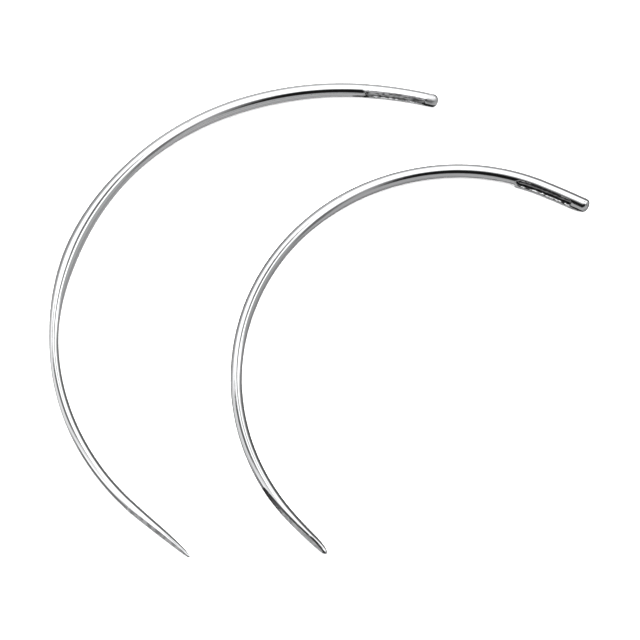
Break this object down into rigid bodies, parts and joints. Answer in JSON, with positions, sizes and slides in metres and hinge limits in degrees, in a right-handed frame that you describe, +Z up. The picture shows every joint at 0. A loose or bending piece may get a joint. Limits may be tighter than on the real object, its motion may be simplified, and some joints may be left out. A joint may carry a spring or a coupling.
{
  "type": "curved hand-sewing needle set",
  "caption": "Loose set of curved steel sewing needles: bowed round wire with a long thread eye at the blunt end and a ground cutting point.",
  "frame": {"origin": "on the table, under the middle of the box round both needles", "axes": "+Z up from the table, +X to the right and +Y away from the viewer of the picture; the bows lie flat in the XY plane and open towards +X and -Y"},
  "size_m": [0.0496, 0.0478, 0.0016],
  "materials": {
    "large_plated_steel": "bright nickel plate over drawn steel wire, satin where the point is ground",
    "small_plated_steel": "bright nickel plate over drawn steel wire, dull inside the punched eye"
  },
  "bodies": {
    "large_needle": {"large_needle": "large_plated_steel"},
    "small_needle": {"small_needle": "small_plated_steel"}
  },
  "joints": [
    {"name": "small_needle_lift", "type": "slide", "parent": "large_needle", "child": "small_needle", "axis": [0, 0, 1], "range_m": [0, 0.05]}
  ]
}
